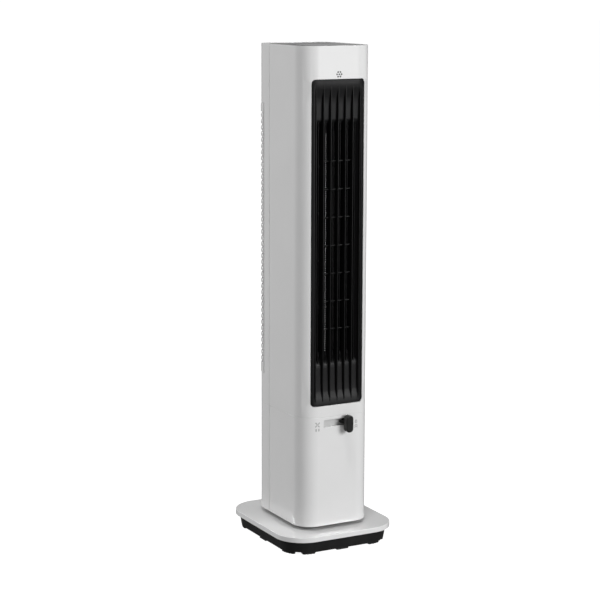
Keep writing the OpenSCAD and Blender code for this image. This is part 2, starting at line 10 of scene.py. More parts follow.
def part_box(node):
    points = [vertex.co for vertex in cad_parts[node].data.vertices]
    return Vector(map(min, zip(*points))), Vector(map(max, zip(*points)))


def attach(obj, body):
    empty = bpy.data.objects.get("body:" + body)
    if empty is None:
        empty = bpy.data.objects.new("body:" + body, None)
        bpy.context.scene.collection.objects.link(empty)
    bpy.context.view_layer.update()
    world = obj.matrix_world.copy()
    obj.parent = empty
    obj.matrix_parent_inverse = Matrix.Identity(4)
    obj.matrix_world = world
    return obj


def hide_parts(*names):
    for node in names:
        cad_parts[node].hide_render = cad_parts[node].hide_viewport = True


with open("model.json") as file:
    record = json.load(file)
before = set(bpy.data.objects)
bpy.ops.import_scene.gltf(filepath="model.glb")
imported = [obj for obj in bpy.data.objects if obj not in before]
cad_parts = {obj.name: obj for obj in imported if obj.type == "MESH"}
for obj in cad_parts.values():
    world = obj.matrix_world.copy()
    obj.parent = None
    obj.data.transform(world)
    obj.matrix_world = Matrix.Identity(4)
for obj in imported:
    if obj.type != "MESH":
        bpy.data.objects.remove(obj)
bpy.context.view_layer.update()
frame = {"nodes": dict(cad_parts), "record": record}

scene = bpy.context.scene

# ------------------------------------------------------------------ frame values, in millimetres
def B(node):
    lo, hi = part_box(node)
    return [v * 1000 for v in lo], [v * 1000 for v in hi]

fs_lo, fs_hi = B("front_shell")
lc_lo, lc_hi = B("lower_front_cover")
rs_lo, rs_hi = B("rear_shell")
og_lo, og_hi = B("outlet_grille")
ig_lo, ig_hi = B("intake_grille")
sb_lo, sb_hi = B("slot_bezel")
kn_lo, kn_hi = B("lever_knob")
pl_lo, pl_hi = B("base_plate")
cg_lo, cg_hi = B("control_glass")
tc_lo, tc_hi = B("top_cover")

HW = fs_hi[0]                 # half width of the casing
YF = fs_lo[1]                 # front face
YR = rs_hi[1]                 # rear face
YC = (YF + YR) / 2
ZB, ZS, ZT = lc_lo[2], fs_lo[2], fs_hi[2]
ZL = lc_hi[2]                 # top of the lower casings
SEAM_Y, SEAM_Y2 = fs_hi[1], rs_lo[1]
RF, RR = 40.0, 36.0           # front and rear corner radii
WALL = 2.5
TAPER = 0.8                   # the casing is this much slimmer on each side at the top
A0 = HW - RF
S1 = A0 + RF * math.pi / 2
S2 = S1 + (YR - RR) - (YF + RF)
S3 = S2 + RR * math.pi / 2
HALF = S3 + (HW - RR)
FULL = 2 * HALF


def plan(s):
    """Point and outward normal of the casing's outline at arc length s from the middle of the front."""
    s = s % FULL
    m = 1.0
    if s > HALF:
        s, m = FULL - s, -1.0
    if s <= A0:
        x, y, nx, ny = s, YF, 0.0, -1.0
    elif s <= S1:
        t = (s - A0) / RF
        nx, ny = math.sin(t), -math.cos(t)
        x, y = A0 + RF * nx, YF + RF + RF * ny
    elif s <= S2:
        x, y, nx, ny = HW, YF + RF + (s - S1), 1.0, 0.0
    elif s <= S3:
        t = (s - S2) / RR
        nx, ny = math.cos(t), math.sin(t)
        x, y = HW - RR + RR * nx, YR - RR + RR * ny
    else:
        x, y, nx, ny = (HW - RR) - (s - S3), YR, 0.0, 1.0
    return m * x, y, m * nx, ny


def on_case(s, z, w):
    """Casing coordinates to space: w is how far outside the nominal surface the point is."""
    x, y, nx, ny = plan(s)
    w = w - TAPER * (z - ZB) / (ZT - ZB)
    return (x + nx * w, y + ny * w, z)


def s_at_y(y):
    """Arc length to the side point at depth y, on the +X side."""
    if y <= YR - RR:
        return S1 + (y - (YF + RF))
    return S2 + RR * math.asin((y - (YR - RR)) / RR)


def s_at_x(x):
    return x if x <= A0 else A0 + RF * math.asin((x - A0) / RF)


def linsp(a, b, n):
    return [a + (b - a) * i / n for i in range(n + 1)]


half_lines = linsp(0, A0, 3) + linsp(A0, S1, 26)[1:] + linsp(S1, S2, 6)[1:] + linsp(S2, S3, 22)[1:] + linsp(S3, HALF, 3)[1:]
S_LINES = sorted(set([round(v, 6) for v in half_lines] + [round(-v, 6) for v in half_lines] + [round(FULL - v, 6) for v in half_lines]))
Z_LINES = [ZB + 20 + 48 * i for i in range(21)]


# ------------------------------------------------------------------ mesh helpers
def rrect(u0, u1, v0, v1, r, us=(), vs=(), n=8):
    """Rounded rectangle, anticlockwise, with extra points where the lines us and vs cross its straight edges."""
    out = []
    su = sorted(v for v in us if u0 + r + 0.2 < v < u1 - r - 0.2)
    sv = sorted(v for v in vs if v0 + r + 0.2 < v < v1 - r - 0.2)

    def arc(cu, cv, a0):
        if r <= 0:
            out.append((cu, cv))
            return
        for k in range(n + 1):
            a = math.radians(a0 + 90.0 * k / n)
            out.append((cu + r * math.cos(a), cv + r * math.sin(a)))

    arc(u0 + r, v0 + r, 180)
    out.extend((v, v0) for v in su)
    arc(u1 - r, v0 + r, 270)
    out.extend((u1, v) for v in sv)
    arc(u1 - r, v1 - r, 0)
    out.extend((v, v1) for v in reversed(su))
    arc(u0 + r, v1 - r, 90)
    out.extend((u0, v) for v in reversed(sv))
    return out


def circle(cu, cv, r, n=24, a0=0.0):
    return [(cu + r * math.cos(a0 + 2 * math.pi * k / n), cv + r * math.sin(a0 + 2 * math.pi * k / n)) for k in range(n)]


def stadium(cu, cv, w, h, n=14):
    r = w / 2
    out = [(cu + r * math.cos(math.pi * k / n), cv + h / 2 - r + r * math.sin(math.pi * k / n)) for k in range(n + 1)]
    out += [(cu - r * math.cos(math.pi * k / n), cv - h / 2 + r - r * math.sin(math.pi * k / n)) for k in range(n + 1)]
    return out


def area2(loop):
    return sum(loop[i][0] * loop[(i + 1) % len(loop)][1] - loop[(i + 1) % len(loop)][0] * loop[i][1] for i in range(len(loop)))


def clean_loop(loop):
    out = []
    for p in loop:
        if not out or math.hypot(p[0] - out[-1][0], p[1] - out[-1][1]) > 1e-4:
            out.append(p)
    if math.hypot(out[0][0] - out[-1][0], out[0][1] - out[-1][1]) < 1e-4:
        out.pop()
    return out


def offset(loop, d):
    """Moves each point of the loop by d away from the material, which is on its left."""
    out, n = [], len(loop)
    for i in range(n):
        ax, ay = loop[i - 1]
        bx, by = loop[i]
        cx, cy = loop[(i + 1) % n]
        l1, l2 = math.hypot(bx - ax, by - ay), math.hypot(cx - bx, cy - by)
        n1 = ((by - ay) / l1, -(bx - ax) / l1)
        n2 = ((cy - by) / l2, -(cx - bx) / l2)
        k = 1 + n1[0] * n2[0] + n1[1] * n2[1]
        k = max(k, 0.25)
        out.append((bx + d * (n1[0] + n2[0]) / k, by + d * (n1[1] + n2[1]) / k))
    return out


def inside(pts, loops):
    """Even-odd test of each point against all the loops, and its distance to the nearest edge."""
    P = np.array(pts, float).reshape(-1, 2)
    inn = np.zeros(len(P), bool)
    dist = np.full(len(P), 1e9)
    for loop in loops:
        L = np.array(loop, float)
        M = np.roll(L, -1, axis=0)
        for (x1, y1), (x2, y2) in zip(L, M):
            cond = (y1 > P[:, 1]) != (y2 > P[:, 1])
            with np.errstate(divide="ignore", invalid="ignore"):
                xi = (x2 - x1) * (P[:, 1] - y1) / (y2 - y1) + x1
            inn ^= cond & (P[:, 0] < xi)
            dx, dy = x2 - x1, y2 - y1
            t = np.clip(((P[:, 0] - x1) * dx + (P[:, 1] - y1) * dy) / max(dx * dx + dy * dy, 1e-12), 0, 1)
            dist = np.minimum(dist, np.hypot(P[:, 0] - x1 - t * dx, P[:, 1] - y1 - t * dy))
    return inn, dist


class Build:
    """Collects vertices and faces in millimetres."""

    def __init__(self):
        self.v, self.f = [], []

    def add(self, verts, faces):
        k = len(self.v)
        self.v.extend(verts)
        self.f.extend([tuple(i + k for i in f) for f in faces])

    def prism(self, loops, hi, lo, r_hi=0.0, r_lo=0.0, place=None, us=(), vs=(), segs=4, margin=1.6):
        """Solid with the outline loops[0] and the holes loops[1:], from w=lo to w=hi, with rounded edges."""
        if place is None:
            place = lambda u, v, w: (u, v, w)
        loops = [clean_loop(l) for l in loops]
        loops = [l if (area2(l) > 0) == (i == 0) else l[::-1] for i, l in enumerate(loops)]
        top = [offset(l, -r_hi) for l in loops]
        low = [offset(l, -r_lo) for l in loops]
        pts, edges, where = [], [], []
        for l in top:
            k = len(pts)
            where.append(k)
            pts.extend(l)
            edges.extend([(k + i, k + (i + 1) % len(l)) for i in range(len(l))])
        n_loop = len(pts)
        if us and vs:
            cand = [(u, v) for u in us for v in vs]
            inn, dist = inside(cand, loops)
            pts.extend(p for p, a, d in zip(cand, inn, dist) if a and d > margin + max(r_hi, r_lo))
        res = delaunay_2d_cdt([Vector(p) for p in pts], edges, [], 0, 1e-7)
        rv, rf, orig = res[0], res[2], res[3]
        cen = [((rv[f[0]].x + rv[f[1]].x + rv[f[2]].x) / 3, (rv[f[0]].y + rv[f[1]].y + rv[f[2]].y) / 3) for f in rf]
        inn, _ = inside(cen, top)
        tri = [f for f, a in zip(rf, inn) if a]
        back = {}
        for j, os_ in enumerate(orig):
            for o in os_:
                back[o] = j
        lowpos = {}
        for l, k in zip(low, where):
            for i, p in enumerate(l):
                lowpos[back[k + i]] = p
        N = len(rv)
        verts = [place(p.x, p.y, hi) for p in rv] + [place(*(lowpos.get(j, (rv[j].x, rv[j].y))), lo) for j in range(N)]
        faces = [tuple(f) for f in tri] + [tuple(i + N for i in reversed(f)) for f in tri]
        for li, loop in enumerate(loops):
            rows = [[back[where[li] + i] for i in range(len(loop))]]
            steps = []
            if r_hi > 0:
                for k in range(1, segs + 1):
                    t = math.pi / 2 * k / segs
                    steps.append((-r_hi * (1 - math.sin(t)), hi - r_hi * (1 - math.cos(t))))
            if r_lo > 0:
                for k in range(0, segs):
                    t = math.pi / 2 * k / segs
                    steps.append((-r_lo * (1 - math.cos(t)), lo + r_lo * (1 - math.sin(t))))
            for d, w in steps:
                row = []
                for (u, v) in offset(loop, d):
                    row.append(len(verts))
                    verts.append(place(u, v, w))
                rows.append(row)
            rows.append([back[where[li] + i] + N for i in range(len(loop))])
            for a, b in zip(rows, rows[1:]):
                for i in range(len(loop)):
                    j = (i + 1) % len(loop)
                    faces.append((a[i], b[i], b[j], a[j]))
        used = sorted({i for f in faces for i in f})
        m = {o: i for i, o in enumerate(used)}
        self.add([verts[i] for i in used], [tuple(m[i] for i in f) for f in faces])

    def sweep(self, path, section, closed=False):
        """Tube of the section (list of points given by frame(path point)) along the path; the ends are capped."""
        rings = [section(p) for p in path]
        n = len(rings[0])
        verts = [q for r in rings for q in r]
        faces = []
        m = len(rings)
        for a in range(m if closed else m - 1):
            b = (a + 1) % m
            for i in range(n):
                j = (i + 1) % n
                faces.append((a * n + i, b * n + i, b * n + j, a * n + j))
        if not closed:
            faces.append(tuple(range(n)))
            faces.append(tuple((m - 1) * n + i for i in reversed(range(n))))
        self.add(verts, faces)

    def loft(self, rings):
        self.sweep(list(range(len(rings))), lambda k: rings[k])

    def object(self, name, body, material, replaces=(), smooth=True, weld=True, sharp=None):
        me = bpy.data.meshes.new(name)
        me.from_pydata([(x * 0.001, y * 0.001, z * 0.001) for x, y, z in self.v], [], self.f)
        me.validate()
        bm = bmesh.new()
        bm.from_mesh(me)
        if weld:
            bmesh.ops.remove_doubles(bm, verts=bm.verts, dist=2e-7)
        bmesh.ops.dissolve_degenerate(bm, edges=bm.edges, dist=1e-8)
        bmesh.ops.recalc_face_normals(bm, faces=bm.faces)
        if sharp:
            for e in bm.edges:
                if len(e.link_faces) == 2 and e.calc_face_angle(0) > math.radians(sharp):
                    e.smooth = False
        bm.to_mesh(me)
        bm.free()
        ob = bpy.data.objects.new(name, me)
        scene.collection.objects.link(ob)
        if smooth:
            me.shade_smooth()
            if sharp:
                bm = bmesh.new()
                bm.from_mesh(me)
                for e in bm.edges:
                    if len(e.link_faces) == 2 and e.calc_face_angle(0) > math.radians(sharp):
                        e.smooth = False
                bm.to_mesh(me)
                bm.free()
            wn = ob.modifiers.new("weighted", "WEIGHTED_NORMAL")
            wn.keep_sharp = True
            wn.weight = 50
        me.materials.append(material)
        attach(ob, body)
        if replaces:
            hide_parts(*replaces)
        return ob


# ------------------------------------------------------------------ procedural materials
def new_mat(name):
    m = bpy.data.materials.new(name)
    m.use_nodes = True
    nt = m.node_tree
    return m, nt, nt.nodes["Principled BSDF"]


def plastic(name, dark, light, rough=(0.2, 0.28), mottle=60.0, grain=900.0, bump=0.05, depth=0.00004, coat=0.0, spec=0.5, ior=1.5, metallic=0.0, transmission=0.0, coat_rough=0.05):
    """Moulded plastic or painted surface: cloudy colour between two values, uneven gloss and a fine surface grain."""
    m, nt, b = new_mat(name)
    N, L = nt.nodes, nt.links
    tc = N.new("ShaderNodeTexCoord")
    n1 = N.new("ShaderNodeTexNoise")
    n1.inputs["Scale"].default_value = mottle
    n1.inputs["Detail"].default_value = 4.0
    L.new(tc.outputs["Object"], n1.inputs["Vector"])
    ramp = N.new("ShaderNodeValToRGB")
    ramp.color_ramp.elements[0].position = 0.30
    ramp.color_ramp.elements[1].position = 0.70
    ramp.color_ramp.elements[0].color = (*dark, 1)
    ramp.color_ramp.elements[1].color = (*light, 1)
    L.new(n1.outputs["Fac"], ramp.inputs["Fac"])
    L.new(ramp.outputs["Color"], b.inputs["Base Color"])
    n2 = N.new("ShaderNodeTexNoise")
    n2.inputs["Scale"].default_value = mottle * 0.35
    n2.inputs["Detail"].default_value = 3.0
    L.new(tc.outputs["Object"], n2.inputs["Vector"])
    mr = N.new("ShaderNodeMapRange")
    mr.inputs["From Min"].default_value = 0.3
    mr.inputs["From Max"].default_value = 0.7
    mr.inputs["To Min"].default_value = rough[0]
    mr.inputs["To Max"].default_value = rough[1]
    L.new(n2.outputs["Fac"], mr.inputs["Value"])
    L.new(mr.outputs["Result"], b.inputs["Roughness"])
    n3 = N.new("ShaderNodeTexNoise")
    n3.inputs["Scale"].default_value = grain
    n3.inputs["Detail"].default_value = 2.0
    L.new(tc.outputs["Object"], n3.inputs["Vector"])
    bp = N.new("ShaderNodeBump")
    bp.inputs["Strength"].default_value = bump
    bp.inputs["Distance"].default_value = depth
    L.new(n3.outputs["Fac"], bp.inputs["Height"])
    L.new(bp.outputs["Normal"], b.inputs["Normal"])
    b.inputs["IOR"].default_value = ior
    b.inputs["Specular IOR Level"].default_value = spec
    b.inputs["Coat Weight"].default_value = coat
    b.inputs["Coat Roughness"].default_value = coat_rough
    b.inputs["Metallic"].default_value = metallic
    b.inputs["Transmission Weight"].default_value = transmission
    return m


def brushed(name, base, rough=0.32):
    """Plated or drawn steel with fine scratches along Z."""
    m, nt, b = new_mat(name)
    N, L = nt.nodes, nt.links
    tc = N.new("ShaderNodeTexCoord")
    mp = N.new("ShaderNodeMapping")
    mp.inputs["Scale"].default_value = (900, 900, 60)
    L.new(tc.outputs["Object"], mp.inputs["Vector"])
    n1 = N.new("ShaderNodeTexNoise")
    n1.inputs["Scale"].default_value = 1.0
    n1.inputs["Detail"].default_value = 4.0
    L.new(mp.outputs["Vector"], n1.inputs["Vector"])
    ramp = N.new("ShaderNodeValToRGB")
    ramp.color_ramp.elements[0].color = (*[c * 0.8 for c in base], 1)
    ramp.color_ramp.elements[1].color = (*base, 1)
    L.new(n1.outputs["Fac"], ramp.inputs["Fac"])
    L.new(ramp.outputs["Color"], b.inputs["Base Color"])
    mr = N.new("ShaderNodeMapRange")
    mr.inputs["To Min"].default_value = rough * 0.8
    mr.inputs["To Max"].default_value = rough * 1.3
    L.new(n1.outputs["Fac"], mr.inputs["Value"])
    L.new(mr.outputs["Result"], b.inputs["Roughness"])
    bp = N.new("ShaderNodeBump")
    bp.inputs["Strength"].default_value = 0.15
    bp.inputs["Distance"].default_value = 0.00005
    L.new(n1.outputs["Fac"], bp.inputs["Height"])
    L.new(bp.outputs["Normal"], b.inputs["Normal"])
    b.inputs["Metallic"].default_value = 1.0
    return m


def woven(name, dark, light, scale, rough=0.85, strength=0.6):
    """Crossed fine ribs: filter mesh or corrugated paper."""
    m, nt, b = new_mat(name)
    N, L = nt.nodes, nt.links
    tc = N.new("ShaderNodeTexCoord")
    w = []
    for d in ("X", "Z"):
        wv = N.new("ShaderNodeTexWave")
        wv.wave_type = "BANDS"
        wv.bands_direction = d
        wv.inputs["Scale"].default_value = scale
        wv.inputs["Distortion"].default_value = 0.4
        L.new(tc.outputs["Object"], wv.inputs["Vector"])
        w.append(wv)
    mx = N.new("ShaderNodeMath")
    mx.operation = "MAXIMUM"
    L.new(w[0].outputs["Fac"], mx.inputs[0])
    L.new(w[1].outputs["Fac"], mx.inputs[1])
    nz = N.new("ShaderNodeTexNoise")
    nz.inputs["Scale"].default_value = 90
    L.new(tc.outputs["Object"], nz.inputs["Vector"])
    ad = N.new("ShaderNodeMath")
    ad.operation = "MULTIPLY"
    L.new(mx.outputs[0], ad.inputs[0])
    L.new(nz.outputs["Fac"], ad.inputs[1])
    ramp = N.new("ShaderNodeValToRGB")
    ramp.color_ramp.elements[0].position = 0.15
    ramp.color_ramp.elements[1].position = 0.6
    ramp.color_ramp.elements[0].color = (*dark, 1)
    ramp.color_ramp.elements[1].color = (*light, 1)
    L.new(ad.outputs[0], ramp.inputs["Fac"])
    L.new(ramp.outputs["Color"], b.inputs["Base Color"])
    bp = N.new("ShaderNodeBump")
    bp.inputs["Strength"].default_value = strength
    bp.inputs["Distance"].default_value = 0.0004
    L.new(mx.outputs[0], bp.inputs["Height"])
    L.new(bp.outputs["Normal"], b.inputs["Normal"])
    b.inputs["Roughness"].default_value = rough
    return m


def g(v):
    return (v, v, v)


M = {
    "shell_white": plastic("shell_white", g(0.755), g(0.775), rough=(0.028, 0.045), mottle=9, grain=500, bump=0.02, depth=0.00002),
    "plate_white": plastic("plate_white", g(0.775), g(0.795), rough=(0.028, 0.045), mottle=9, grain=500, bump=0.02, depth=0.00002),
    "tray_black": plastic("tray_black", g(0.010), g(0.015), rough=(0.34, 0.44), mottle=40, grain=1400, bump=0.25, depth=0.00008),
    "grille_black": plastic("grille_black", (0.0045, 0.0045, 0.0048), (0.0062, 0.0062, 0.0066), rough=(0.44, 0.52), mottle=50, grain=1300, bump=0.18, depth=0.00006, spec=0.22),
    "pad_rubber": plastic("pad_rubber", g(0.010), g(0.018), rough=(0.6, 0.75), mottle=80, grain=1500, bump=0.3, depth=0.0001),
    "ballast_steel": plastic("ballast_steel", (0.26, 0.27, 0.28), (0.36, 0.37, 0.38), rough=(0.4, 0.5), mottle=30, bump=0.1),
    "screw_steel": brushed("screw_steel", (0.62, 0.62, 0.64)),
    "gear_acetal": plastic("gear_acetal", (0.76, 0.75, 0.70), (0.82, 0.81, 0.77), rough=(0.3, 0.4), mottle=50, bump=0.08),
    "frame_black": plastic("frame_black", g(0.035), g(0.055), rough=(0.4, 0.55), mottle=40, grain=1200, bump=0.2),
    "duct_grey": plastic("duct_grey", g(0.010), g(0.016), rough=(0.5, 0.65), mottle=40, grain=1200, bump=0.2),
    "bay_grey": plastic("bay_grey", (0.55, 0.56, 0.57), (0.60, 0.61, 0.62), rough=(0.3, 0.42), mottle=30, bump=0.08),
    "top_grey": plastic("top_grey", (0.120, 0.126, 0.124), (0.136, 0.142, 0.140), rough=(0.14, 0.20), mottle=14, grain=700, bump=0.03),
    "panel_glass": plastic("panel_glass", (0.014, 0.015, 0.017), (0.018, 0.019, 0.021), rough=(0.06, 0.09), mottle=20, grain=300, bump=0.01, coat=0.5),
    "board_green": plastic("board_green", (0.02, 0.12, 0.05), (0.04, 0.19, 0.09), rough=(0.3, 0.45), mottle=160, bump=0.2),
    "fan_black": plastic("fan_black", g(0.006), g(0.010), rough=(0.5, 0.65), mottle=40, grain=1200, bump=0.2),
    "motor_steel": brushed("motor_steel", (0.50, 0.51, 0.53), 0.4),
    "pad_paper": woven("pad_paper", (0.22, 0.14, 0.07), (0.56, 0.42, 0.25), 60, 0.9, 0.9),
    "pad_frame_grey": plastic("pad_frame_grey", (0.60, 0.61, 0.62), (0.67, 0.68, 0.69), rough=(0.35, 0.45), mottle=30, bump=0.08),
    "tank_clear": plastic("tank_clear", (0.46, 0.56, 0.64), (0.55, 0.64, 0.72), rough=(0.2, 0.32), mottle=18, bump=0.05, transmission=0.25),
    "hose_clear": plastic("hose_clear", (0.55, 0.60, 0.64), (0.62, 0.67, 0.71), rough=(0.2, 0.3), mottle=60, bump=0.05),
    "knob_black": plastic("knob_black", g(0.007), g(0.010), rough=(0.36, 0.44), mottle=70, grain=1500, bump=0.15, depth=0.00005, spec=0.35),
    # sounder holes: near-black matte material, painted shade of the holes' insides
    "sounder_painted_shade": plastic("sounder_painted_shade", g(0.003), g(0.005), rough=(0.6, 0.72), mottle=60, grain=1200, bump=0.2, spec=0.08),
    "loom_black": plastic("loom_black", g(0.02), g(0.035), rough=(0.55, 0.7), mottle=200, grain=1500, bump=0.5, depth=0.0002),
    "mesh_grey": woven("mesh_grey", (0.015, 0.015, 0.017), (0.16, 0.16, 0.17), 220, 0.8, 0.8),
    "print_grey": plastic("print_grey", g(0.36), g(0.42), rough=(0.3, 0.4), mottle=200, grain=1200, bump=0.05),
    "print_light": plastic("print_light", g(0.45), g(0.55), rough=(0.3, 0.4), mottle=200, grain=1200, bump=0.05),
    # slide channel: white plastic darkened to light grey, painted shade of the recess
    "channel_painted_shade": plastic("channel_painted_shade", g(0.56), g(0.60), rough=(0.25, 0.32), mottle=30, grain=700, bump=0.03),
    # grille comb studs: light grey, painted highlight
    "comb_painted_highlight": plastic("comb_painted_highlight", g(0.42), g(0.52), rough=(0.3, 0.4), mottle=200, grain=1200, bump=0.05),
}

slot_of = {sp["node"]: sp["material_slot"] for sp in frame["record"]["subparts"]}
for name, ob in frame["nodes"].items():
    mat = M[slot_of[name]]
    if not ob.material_slots:
        ob.data.materials.append(mat)
    for ms in ob.material_slots:
        ms.link = "OBJECT"
        ms.material = mat


def soften(node, width, angle=35.0):
    """Rounds the edges of a CAD node that stays in view."""
    ob = frame["nodes"][node]
    w = ob.modifiers.new("weld", "WELD")
    w.merge_threshold = 0.00001
    bv = ob.modifiers.new("bevel", "BEVEL")
    bv.width = width * 0.001
    bv.segments = 3
    bv.limit_method = "ANGLE"
    bv.angle_limit = math.radians(angle)
    bv.harden_normals = False
    wn = ob.modifiers.new("weighted", "WEIGHTED_NORMAL")
    wn.keep_sharp = False


# ------------------------------------------------------------------ casing
SE, SE2 = s_at_y(SEAM_Y), s_at_y(SEAM_Y2)
gap_z = ZS - 0.12                                # the lower casings reach up to a hairline seam
gx = s_at_x((og_hi[0] + 0.6))                    # outlet opening, half width along the surface
gz0, gz1 = og_lo[2] - 0.6, og_hi[2] + 0.6
slot_z = (sb_lo[2] + sb_hi[2]) / 2
slot_hl = sb_hi[0] - 1.5
slot_hh = (sb_hi[2] - sb_lo[2]) / 2 - 1.5

front_s = [v for v in S_LINES if -SE < v < SE]
b = Build()
holes = [rrect(-gx, gx, gz0, gz1, 9.0, front_s, Z_LINES, n=12)]
hz = gz1 + 9.5
for k in range(-1, 6):
    hx, hh = (0, hz) if k < 0 else (5.3 * math.cos(math.radians(60 * k)), hz + 5.3 * math.sin(math.radians(60 * k)))
    holes.append(circle(hx, hh, 1.5, 16))
b.prism([rrect(-SE, SE, ZS, ZT, 0, front_s, Z_LINES)] + holes, 0.0, -WALL, 0.45, 0.3, on_case, front_s, Z_LINES, margin=1.2)
front = b.object("front_casing", "tower", M["shell_white"], ["front_shell"])
# near-black discs just under the sounder holes: painted shade, so the holes read as dark dots
b = Build()
for l in holes[1:]:
    cu, cv = sum(q[0] for q in l) / len(l), sum(q[1] for q in l) / len(l)
    b.prism([circle(cu, cv, 1.78, 16)], -0.04, -1.9, 0, 0, on_case)
b.object("sounder_hole_shade_discs", "tower", M["sounder_painted_shade"], sharp=40)

b = Build()
b.prism([rrect(-SE, SE, ZB, gap_z, 0, front_s, Z_LINES), rrect(-slot_hl, slot_hl, slot_z - slot_hh, slot_z + slot_hh, 2.0, front_s, Z_LINES)],
        0.0, -WALL, 0.45, 0.3, on_case, front_s, Z_LINES, margin=1.2)
low_front = b.object("lower_front_casing", "tower", M["shell_white"], ["lower_front_cover"])

rear_s = [v for v in S_LINES if SE2 < v < FULL - SE2]
so = s_at_y(62.0)
io0, io1 = ig_lo[2] - 0.6, ig_hi[2] + 0.6
b = Build()
b.prism([rrect(SE2, FULL - SE2, ZS, ZT, 0, rear_s, Z_LINES), rrect(so, FULL - so, io0, io1, 0, rear_s, Z_LINES)],
        0.0, -WALL, 0.45, 0.3, on_case, rear_s, Z_LINES, margin=1.2)
b.object("rear_casing", "tower", M["shell_white"], ["rear_shell"])

b = Build()
fo = [(u, v) for u, v in rrect(HALF - 36, HALF + 36, ZB + 176, ZB + 200, 10.0, rear_s, Z_LINES, n=12)]
b.prism([rrect(SE2, FULL - SE2, ZB, gap_z, 0, rear_s, Z_LINES), fo], 0.0, -WALL, 0.45, 0.3, on_case, rear_s, Z_LINES, margin=1.2)
b.object("tank_drawer_front", "tank", M["shell_white"], ["tank_cover"])


def outline_loop(inset, z):
    """The casing's outline, inset, as a closed loop in x, y at height z."""
    pts = []
    for s in [v for v in S_LINES if -1e-6 <= v < FULL - 1e-6]:
        x, y, _ = on_case(s, z, -inset)
        pts.append((x, y))
    return clean_loop(pts)


# dark strips inside the vertical seams between front and rear casings: painted shade, so the seam gaps read dark
b = Build()
for s0, s1 in ((SE - 0.05, SE2 - 0.15), (FULL - SE2 + 0.15, FULL - SE + 0.05)):
    for z0, z1 in ((ZB + 1, gap_z - 1), (ZS + 1, ZT - 6)):
        zz = [z0] + [v for v in Z_LINES if z0 + 2 < v < z1 - 2] + [z1]
        b.sweep(zz, lambda z, s0=s0, s1=s1: [on_case(s0, z, -0.7), on_case(s1, z, -0.7), on_case(s1, z, -2.3), on_case(s0, z, -2.3)])
b.object("seam_shade_strips", "tower", M["loom_black"], smooth=False)

# ------------------------------------------------------------------ top
b = Build()
b.prism([outline_loop(WALL + 0.12, ZT)], tc_hi[2], tc_lo[2], 0.4, 0.2)
b.object("top_panel", "tower", M["top_grey"], ["top_cover"])
b = Build()
b.prism([rrect(cg_lo[0], cg_hi[0], cg_lo[1], cg_hi[1], 16.0, n=12)], cg_hi[2], cg_lo[2], 0.25, 0.0)
b.object("touch_panel", "tower", M["panel_glass"], ["control_glass"])


def ring_mark(b, cx, cy, r, t, z, h=0.06, a0=0.0, a1=360.0, n=40, put=None):
    put = put or (lambda u, v, w: (u, v, w))
    if a1 - a0 >= 359.9:
        b.prism([circle(cx, cy, r + t / 2, n), circle(cx, cy, r - t / 2, n)], z + h, z, 0, 0, put)
        return
    o = [(cx + (r + t / 2) * math.cos(math.radians(a)), cy + (r + t / 2) * math.sin(math.radians(a))) for a in linsp(a0, a1, n)]
    i = [(cx + (r - t / 2) * math.cos(math.radians(a)), cy + (r - t / 2) * math.sin(math.radians(a))) for a in linsp(a1, a0, n)]
    b.prism([o + i], z + h, z, 0, 0, put)


def bar_mark(b, x0, y0, x1, y1, t, z, h=0.06, put=None):
    put = put or (lambda u, v, w: (u, v, w))
    l = math.hypot(x1 - x0, y1 - y0)
    dx, dy = (x1 - x0) / l * t / 2, (y1 - y0) / l * t / 2
    b.prism([[(x0 - dy, y0 + dx), (x0 - dx, y0 - dy), (x0 + dy, y0 - dx), (x1 + dy, y1 - dx), (x1 + dx, y1 + dy), (x1 - dy, y1 + dx)]], z + h, z, 0, 0, put)


b = Build()
gcx, gcy, gz = (cg_lo[0] + cg_hi[0]) / 2, (cg_lo[1] + cg_hi[1]) / 2, cg_hi[2] - 0.068
pts = [(-38, -20), (0, -20), (38, -20), (-38, 16), (38, 16)]
# power
ring_mark(b, gcx + pts[1][0], gcy + pts[1][1], 4.2, 0.7, gz, a0=125, a1=415)
bar_mark(b, gcx, gcy - 20 + 2.2, gcx, gcy - 20 + 5.4, 0.7, gz)
# fan speed: three blades round a hub
for k in range(3):
    a = math.radians(90 + 120 * k)
    ring_mark(b, gcx - 38 + 2.3 * math.cos(a), gcy - 20 + 2.3 * math.sin(a), 1.7, 0.6, gz, n=20)
# timer
ring_mark(b, gcx + 38, gcy - 20, 4.2, 0.7, gz)
bar_mark(b, gcx + 38, gcy - 20, gcx + 38, gcy - 20 + 2.6, 0.6, gz)
bar_mark(b, gcx + 38.2, gcy - 20, gcx + 40.2, gcy - 20, 0.6, gz)
# water drop
drop = [(gcx - 38 + 2.6 * math.cos(math.radians(a)), gcy + 14.6 + 2.6 * math.sin(math.radians(a))) for a in linsp(150, 390, 20)] + [(gcx - 38, gcy + 21)]
inner = [(gcx - 38 + 1.9 * math.cos(math.radians(a)), gcy + 14.6 + 1.9 * math.sin(math.radians(a))) for a in linsp(150, 390, 20)] + [(gcx - 38, gcy + 19.4)]
b.prism([drop, inner], gz + 0.06, gz, 0, 0)
# swing
ring_mark(b, gcx + 38, gcy + 11, 6.0, 0.7, gz, a0=45, a1=135, n=16)
bar_mark(b, gcx + 38, gcy + 12, gcx + 38, gcy + 15.4, 0.7, gz)
b.object("touch_signs", "tower", M["print_light"], sharp=30)

# ------------------------------------------------------------------ outlet grille
R0T, R1T, R2T = gz1 - 15.0, ZB + 850.0, ZB + 829.0
R2B, R1B, R0B = ZB + 366.0, ZB + 345.0, gz0 + 12.0
face = 0.6


def curve_in(x):
    a = abs(x)
    return 0.0 if a <= A0 else RF - math.sqrt(max(RF * RF - (a - A0) ** 2, 0.0))


